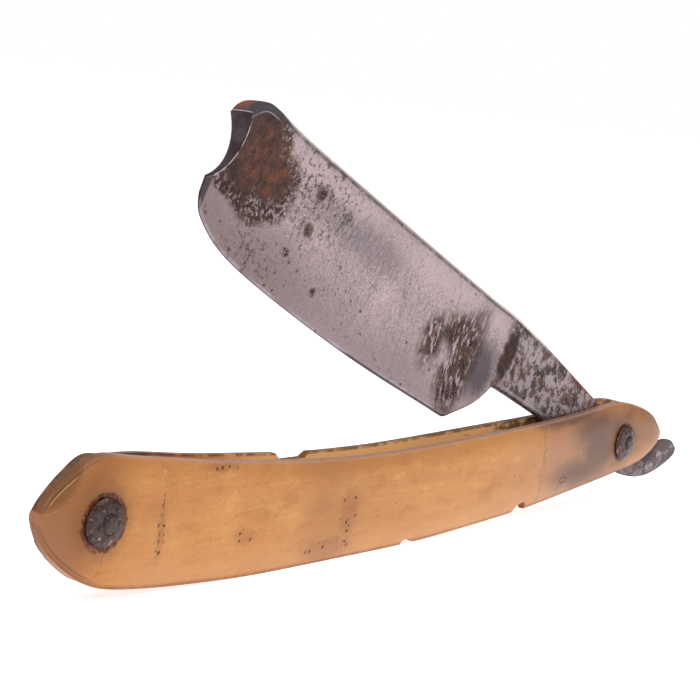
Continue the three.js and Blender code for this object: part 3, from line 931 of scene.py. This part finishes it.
# painted light: a light band under the spine, and a darker painted reflection in the hollow below it
color = blend(tree, all_of(tree, step(tree, to_spine, 0.9, 1.8), step(tree, to_spine, 5.2, 3.2),
                           step(tree, cloud, 0.3, 0.6, 0.2, 0.7)), color, rgb(170, 152, 154))
hollow = all_of(tree, patch(tree, place, -86, -0.8, 12, 2.3, 0.55, 0.4, 0.25),
                step(tree, across, 0.3, 0.62, 0.35, 0.7))
color = blend(tree, hollow, color, rgb(106, 96, 101))
color = blend(tree, step(tree, to_edge, 9.0, 2.0, 0, 0.7), color, rgb(134, 117, 119))
dents = noise(tree, moved(tree, place, (0.9, 0.9, 0.55)), 1.0, 6.0, 0.7)
color = blend(tree, step(tree, dents, 0.54, 0.66, 0, 0.4), color, rgb(112, 94, 96))
toe_low = all_of(tree, step(tree, x, -84, -100), step(tree, z, -4, -9))
color = blend(tree, calc(tree, "MULTIPLY", toe_low, 0.4), color, rgb(122, 102, 100))

# dark scale and streaks at the heel, a blue patch by the shoulder
heel = any_of(tree, patch(tree, place, -52.0, -6.2, 3.2, 8.2, 0.4, 0.5, 0.4),
              patch(tree, place, -55.6, -2.8, 4.4, 3.0, 0.5, 0.7, 0.45),
           patch(tree, place, -53.2, -9.4, 3.2, 4.6, 0.4, 0.6, 0.5),
              patch(tree, place, -61, -5.6, 2.8, 3.6, 0.6, 0.9, 0.5))
slashes = use(tree, streak_group, Vector=moved(tree, place, turn=(0, 0.25, 0)),
              Stretch=(1.7, 1, 0.55), Contrast=1.6)[0]
slashes = all_of(tree, step(tree, slashes, 0.32, 0.46), step(tree, speckle, 0.62, 0.5, 0.35, 1))
heel_dark = all_of(tree, heel, slashes)
blue = patch(tree, place, -47.2, -5.0, 3.0, 4.2, 0.5, 0.25, 0.4)
color = blend(tree, calc(tree, "MULTIPLY", blue, 0.88), color, rgb(76, 66, 72))

# the shank, tang and tail: black and brown scale broken by bare metal
shank = step(tree, calc(tree, "ADD", x, calc(tree, "MULTIPLY", noise(tree, place, 0.35), 6)),
             -43.5, -38.5)
mottle = noise(tree, moved(tree, place, (0.6, 0.6, 0.6)), 1.0, 9.0, 0.74)
crust = step(tree, mottle, 0.455, 0.545)
rust = use(tree, rust_group, Vector=place, Grain=0.62, Orange=0.5)
scale_shade = blend(tree, step(tree, noise(tree, place, 0.5, 5.0), 0.4, 0.6),
                    rgb(46, 34, 32), rgb(90, 60, 46))
color = blend(tree, all_of(tree, shank, 0.5), color, rgb(138, 127, 131))
color = blend(tree, all_of(tree, shank, crust, 0.9), color, scale_shade)
scuffs = use(tree, streak_group, Vector=moved(tree, place, turn=(0, 0.9, 0)),
             Stretch=(3.2, 1, 1.2), Contrast=1.8)[0]
color = blend(tree, all_of(tree, shank, step(tree, scuffs, 0.62, 0.8), 0.7), color,
              rgb(164, 152, 156))
color = blend(tree, heel_dark, color, blend(tree, 0.35, scale_shade, rgb(34, 26, 26)))
tail = step(tree, x, 3, 9)
color = blend(tree, calc(tree, "MULTIPLY", tail, 0.7), color, rgb(112, 99, 102))
# painted highlights along the tail's upper side, broken by the mottle
color = blend(tree, all_of(tree, tail, step(tree, to_spine, 0.2, 0.9), step(tree, to_spine, 2.6, 1.6),
                           step(tree, mottle, 0.5, 0.42, 0, 0.8)), color, rgb(184, 172, 176))

# rust: the large bloom behind the notch and smaller blots
bloom = any_of(tree, patch(tree, place, -112.8, -0.8, 6.2, 6.9, 0.1, 0.4, 0.5),
               patch(tree, place, -106.9, -3.0, 4.6, 4.8, 0.14, 0.5, 0.55),
               patch(tree, place, -114.8, -6.2, 3.0, 1.6, 0.2, 0.5, 0.6),
               patch(tree, place, -109.8, -5.6, 4.4, 3.4, 0.2, 0.5, 0.6),
               patch(tree, place, -113.4, 3.8, 3.4, 2.4, 0.2, 0.3, 0.5))
lacework = step(tree, noise(tree, moved(tree, place, (1.9, 1, 1.6)), 1.0, 6.0, 0.72),
                0.41, 0.5)
fringe = any_of(tree, patch(tree, place, -113.4, -0.8, 5.6, 5.6, 0.25, 0.4, 0.6),
                patch(tree, place, -107.8, -2.2, 3.9, 3.4, 0.3, 0.6, 0.6),
                patch(tree, place, -113.6, 3.6, 2.6, 2.0, 0.2, 0.3, 0.5))
bloom = all_of(tree, bloom, any_of(tree, fringe, lacework))
crumbs = step(tree, noise(tree, place, 2.4, 5.0, 0.75), 0.4, 0.5)
blots = any_of(tree, patch(tree, place, -97.0, -4.6, 1.0, 1.0, 0.4, 1.0, 1.2),
               patch(tree, place, -97.8, 0.4, 1.1, 1.1, 0.4, 1.0, 1.2),
               patch(tree, place, -99.4, -8.8, 0.7, 0.6, 0.4, 0.8, 1.4),
               patch(tree, place, -91.0, -11.0, 0.6, 0.6, 0.4, 0.8, 1.4))
blots = any_of(tree, all_of(tree, blots, crumbs),
               patch(tree, place, -42.0, -0.6, 2.0, 4.6, 0.3, 0.7, 0.8))
spotty = step(tree, noise(tree, place, 1.1, 6.0, 0.75), 0.52, 0.6)
strays = all_of(tree, spotty, patch(tree, place, -98, 0.0, 9, 5.5, 0.5, 0.5, 0.3), 0.75)
strays = any_of(tree, strays, all_of(
    tree, spotty, patch(tree, place, -106, -12, 5, 2.6, 0.5, 0.7, 0.4), 0.7))
rusty = any_of(tree, bloom, blots, strays)
crumbs_fine = noise(tree, moved(tree, place, shift=(7, 3, 5)), 2.8, 5.0, 0.7)
deep_rust = use(tree, rust_group, Vector=place, Grain=1.4, Orange=0.55)
dark_rust = use(tree, rust_group, Vector=place, Grain=1.2, Orange=0.42)
core = patch(tree, place, -109.6, -0.8, 6.0, 3.4, 0.6, 0.6, 0.5)
rust_shade = blend(tree, core, dark_rust["Color"], deep_rust["Color"])
rust_shade = blend(tree, step(tree, dents, 0.5, 0.62, 0, 0.6), rust_shade, rgb(44, 28, 26))
rust_shade = blend(tree, all_of(tree, core, step(tree, crumbs_fine, 0.6, 0.7), 0.6), rust_shade,
                   rgb(178, 112, 64))
color = blend(tree, calc(tree, "MULTIPLY", rusty, 0.95), color, rust_shade)

# pits all over, thicker at the toe and along the edge
many = step(tree, x, -84, -104, 0.0, 1.0)
small_pits = use(tree, pits_group, Vector=place, Spacing=0.9, Size=0.26, Share=0.26,
                 Irregular=0.5)[0]
large_pits = use(tree, pits_group, Vector=place, Spacing=2.6, Size=0.1, Share=0.4,
                 Irregular=0.8)[0]
near_edge = step(tree, to_edge, 3.0, 0.8)
pit_zone = any_of(tree, calc(tree, "MULTIPLY", many, 0.75), near_edge, heel, shank,
                  step(tree, noise(tree, place, 0.16, 2.0), 0.5, 0.62))
pits = any_of(tree, all_of(tree, small_pits, pit_zone), large_pits)
color = blend(tree, calc(tree, "MULTIPLY", pits, 0.8), color,
              blend(tree, step(tree, speckle, 0.4, 0.6), rgb(58, 46, 46), rgb(104, 76, 58)))

# rows of shallow punched pits near the tang, worn past reading
punched = use(tree, pits_group, Vector=moved(tree, place, (1, 0, 1)), Spacing=1.0, Size=0.3,
              Share=0.8, Irregular=0.5)[0]
punched = all_of(tree, punched, patch(tree, place, -18, 0.2, 6.5, 3.4, 0.2, 0.3, 0.5))
color = blend(tree, calc(tree, "MULTIPLY", punched, 0.85), color, rgb(26, 22, 24))

# spine: painted highlight on its worn corner with a painted dark reflection under it, orange rust in places
spine_highlight = step(tree, to_spine, 0.56, 0.42)
spine_dark_reflection = all_of(tree, step(tree, to_spine, 0.5, 0.64), step(tree, to_spine, 1.15, 0.8),
              step(tree, noise(tree, place, 0.5, 4.0), 0.36, 0.56, 0.35, 1.0),
              step(tree, x, -20, -34))
color = blend(tree, calc(tree, "MULTIPLY", spine_dark_reflection, 0.72), color, rgb(66, 62, 68))
color = blend(tree, all_of(tree, spine_highlight, step(tree, x, -26, -40), step(tree, x, -112, -108),
                           step(tree, calc(tree, "ABSOLUTE", y), 0.9, 1.3, 0.25, 0.85)), color,
              rgb(236, 212, 204))
top_face = step(tree, to_spine, 0.12, 0.03)
color = blend(tree, all_of(tree, top_face, step(tree, mottle, 0.44, 0.56), 0.6), color,
              rgb(104, 86, 80))
color = blend(tree, all_of(tree, step(tree, x, -110.5, -112.5), step(tree, to_spine, 1.6, 0.8),
                           0.9), color, rgb(74, 68, 78))
spine_rust = any_of(tree, all_of(tree, patch(tree, place, -111, 5, 6.5, 3, 0.3, 0.6, 0.6),
                                 step(tree, y, -0.9, 0.3)),
                    patch(tree, place, -13, 3.4, 7, 3, 0.4, 0.8, 0.7))
color = blend(tree, all_of(tree, step(tree, to_spine, 0.7, 0.2), spine_rust,
                           step(tree, speckle, 0.58, 0.46, 0.3, 0.9)), color, rgb(150, 86, 50))

# blue black face of the notch
reach = calc(tree, "SQRT", calc(
    tree, "ADD", calc(tree, "POWER", calc(tree, "ADD", x, 122.6), 2.0),
    calc(tree, "POWER", calc(tree, "ADD", z, 1.4), 2.0)))
notch = step(tree, reach, 7.02, 6.94)
notch_shade = blend(tree, step(tree, z, -2.5, -7.0), rgb(11, 9, 10), rgb(44, 38, 48))
color = blend(tree, calc(tree, "MULTIPLY", notch, 0.96), color, notch_shade)
# painted highlight: a thin pale line along the edge of the notch
notch_lip_highlight = all_of(tree, step(tree, reach, 7.0, 7.05), step(tree, reach, 7.24, 7.14),
                   step(tree, noise(tree, place, 0.7, 4.0), 0.34, 0.5))
color = blend(tree, calc(tree, "MULTIPLY", notch_lip_highlight, 0.7), color, rgb(198, 186, 192))
# painted highlight: a thin pale line under the top facet of the toe
toe_cap_highlight = all_of(tree, step(tree, x, -111.4, -112.4), step(tree, to_spine, 1.2, 1.28),
                  step(tree, to_spine, 1.42, 1.34))
color = blend(tree, calc(tree, "MULTIPLY", toe_cap_highlight, 0.5), color, rgb(186, 174, 178))
toe_strip = all_of(tree, step(tree, x, -117.3, -117.8), step(tree, z, -12, -11.4))
color = blend(tree, calc(tree, "MULTIPLY", toe_strip, 0.8), color, rgb(52, 44, 46))
edge_bevel = all_of(tree, step(tree, to_edge, 0.75, 0.5), step(tree, x, -50, -54),
                    step(tree, noise(tree, place, 0.3, 4.0), 0.4, 0.6))
color = blend(tree, calc(tree, "MULTIPLY", edge_bevel, 0.45), color, rgb(176, 164, 186))
color = blend(tree, step(tree, to_edge, 0.3, 0.1, 0, 0.85), color, rgb(62, 50, 52))
# painted highlight on the chamfer along the lower edge of the shank
chamfer_highlight = all_of(tree, step(tree, to_edge, 0.95, 0.75), step(tree, to_edge, 0.3, 0.45),
                 step(tree, x, -42, -40), step(tree, x, -4, -8))
color = blend(tree, calc(tree, "MULTIPLY", chamfer_highlight, 0.7), color, rgb(146, 136, 140))

dull = any_of(tree, rusty, all_of(tree, shank, crust), heel_dark, pits, notch)
roughness = calc(tree, "ADD", step(tree, hair, 0.3, 0.7, 0.36, 0.46),
                 calc(tree, "MULTIPLY", dull, 0.34), clamp=True)
metallic = calc(tree, "SUBTRACT", 0.85, calc(tree, "MULTIPLY", dull, 0.7), clamp=True)
height = calc(tree, "ADD", calc(tree, "MULTIPLY", hair, 0.01),
              calc(tree, "MULTIPLY", rusty, calc(tree, "MULTIPLY", rust["Height"], 0.1)))
height = calc(tree, "SUBTRACT", height, calc(tree, "MULTIPLY", any_of(tree, pits, punched), 0.1))
height = calc(tree, "ADD", height, all_of(tree, shank, calc(tree, "MULTIPLY", mottle, 0.16)))
finish_shader(tree, shader, color, roughness, height, 0.001, metallic)
shader.inputs["Specular IOR Level"].default_value = 0.12
blade.data.materials.clear()
blade.data.materials.append(steel)

# ---------------------------------------------------------------- iron and wedge


def iron_material(name, origin, shade, orange):
    material, tree, shader = new_material(name)
    place = about(tree, origin)
    rust = use(tree, rust_group, Vector=place, Grain=1.1, Orange=orange)
    mottle = noise(tree, place, 0.9, 6.0, 0.6)
    color = blend(tree, step(tree, mottle, 0.4, 0.58), shade, rust["Color"])
    axes = add(tree, "ShaderNodeSeparateXYZ", {0: place}).outputs
    reach = calc(tree, "SQRT", calc(tree, "ADD", calc(tree, "POWER", axes[0], 2.0),
                                    calc(tree, "POWER", axes[2], 2.0)))
    seam = all_of(tree, step(tree, reach, 0.95, 1.15), step(tree, reach, 1.5, 1.3))
    color = blend(tree, calc(tree, "MULTIPLY", seam, 0.7), color, rgb(40, 28, 26))
    color = blend(tree, step(tree, reach, 2.45, 3.0, 0, 0.75), color, rust["Color"])
    bare = step(tree, noise(tree, place, 1.7, 5.0), 0.55, 0.66)
    color = blend(tree, step(tree, noise(tree, place, 0.7, 5.0, 0.7), 0.46, 0.62, 0, 0.75), color,
                  rgb(44, 28, 26))
    glint = step(tree, noise(tree, place, 1.3, 4.0), 0.6, 0.7, 0, 0.4)
    color = blend(tree, glint, color, rgb(186, 172, 176))
    roughness = calc(tree, "SUBTRACT", 0.32, calc(tree, "MULTIPLY", bare, 0.14))
    metallic = step(tree, mottle, 0.62, 0.42, 0.3, 0.9)
    height = calc(tree, "MULTIPLY", rust["Height"], 0.09)
    finish_shader(tree, shader, color, roughness, height, 0.001, metallic)
    return material


irons = {"wedge": iron_material("wedge_end_iron", WEDGE_PIN, rgb(84, 68, 68), 0.44),
         "pivot": iron_material("pivot_end_iron", PIVOT, rgb(108, 94, 96), 0.5)}
for piece, node, slot in iron_pieces:
    piece.data.materials.clear()
    piece.data.materials.append(irons[node.split("_")[0]])

wedge_look, tree, shader = new_material("wedge_horn")
place = about(tree, WEDGE_PIN)
grain = use(tree, streak_group, Vector=place, Stretch=(0.2, 3, 3), Contrast=1.5)[0]
color = blend(tree, step(tree, grain, 0.35, 0.65), rgb(76, 56, 46), rgb(112, 84, 62))
finish_shader(tree, shader, color, step(tree, grain, 0.3, 0.7, 0.4, 0.55),
              calc(tree, "MULTIPLY", grain, 0.03), 0.001)
wedge_node = frame["nodes"]["wedge"]
wedge_node.data.materials.clear()
wedge_node.data.materials.append(wedge_look)

# ---------------------------------------------------------------- which piece stands for what

for piece, node, body, slot in ((front_scale, "front_scale", "handle", "horn"),
                                (back_scale, "back_scale", "handle", "horn"),
                                (blade, "blade", "blade", "blade_steel")):
    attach(piece, body)
    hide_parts(node)
for piece, node, slot in iron_pieces:
    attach(piece, "handle")
    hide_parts(node)

# ---------------------------------------------------------------- floor, light and camera

clear_selection()
bpy.ops.mesh.primitive_plane_add(size=60, location=(0, 0, 0))
floor = named("floor")
pale, tree, shader = new_material("pale_floor")
shader.inputs["Base Color"].default_value = (0.9, 0.9, 0.9, 1)
shader.inputs["Roughness"].default_value = 0.8
shader.inputs["Emission Color"].default_value = (1, 1, 1, 1)
shader.inputs["Emission Strength"].default_value = 0.72
floor.data.materials.append(pale)

world = bpy.data.worlds.new("studio")
bpy.context.scene.world = world
world.use_nodes = True
world.node_tree.nodes["Background"].inputs["Color"].default_value = (1, 1, 1, 1)
world.node_tree.nodes["Background"].inputs["Strength"].default_value = 0.37
# seen directly, the backdrop is white
seen = add(world.node_tree, "ShaderNodeBackground", {"Strength": 1.0, "Color": (1, 1, 1, 1)})
ray = world.node_tree.nodes.new("ShaderNodeLightPath").outputs["Is Camera Ray"]
either = add(world.node_tree, "ShaderNodeMixShader", {
    0: ray, 1: world.node_tree.nodes["Background"].outputs[0], 2: seen.outputs[0]})
world.node_tree.links.new(either.outputs[0],
                          world.node_tree.nodes["World Output"].inputs["Surface"])

EYE = Vector((-0.23154, -0.15181, 0.06309))
SIGHT = Matrix(((0.59617, 0.03657, -0.80202), (-0.79416, 0.17349, -0.58242),
                (0.11785, 0.98416, 0.13248)))


def soft_light(name, place, target, size, power, size_y=None):
    data = bpy.data.lights.new(name, "AREA")
    data.shape = "RECTANGLE"
    data.size = size
    data.size_y = size_y or size
    data.energy = power
    lamp = bpy.data.objects.new(name, data)
    bpy.context.collection.objects.link(lamp)
    lamp.location = place
    lamp.rotation_euler = (Vector(target) - Vector(place)).to_track_quat("-Z", "Y").to_euler()
    return lamp


soft_light("overhead", (-0.1, -0.1, 0.7), (0, 0, 0.03), 0.6, 2.7)
soft_light("left_front", (-0.5, -0.3, 0.45), (0, 0, 0.03), 0.16, 1.2)
soft_light("right_front", (0.2, -0.7, 0.25), (0, 0, 0.03), 0.4, 0.6)

camera_data = bpy.data.cameras.new("camera")
camera_data.lens = 97.71
camera_data.sensor_width = 36
camera_data.clip_start = 0.01
camera = bpy.data.objects.new("camera", camera_data)
bpy.context.collection.objects.link(camera)
camera.matrix_world = Matrix.Translation(EYE) @ SIGHT.to_4x4()
bpy.context.scene.camera = camera
bpy.context.scene.view_settings.view_transform = "Standard"
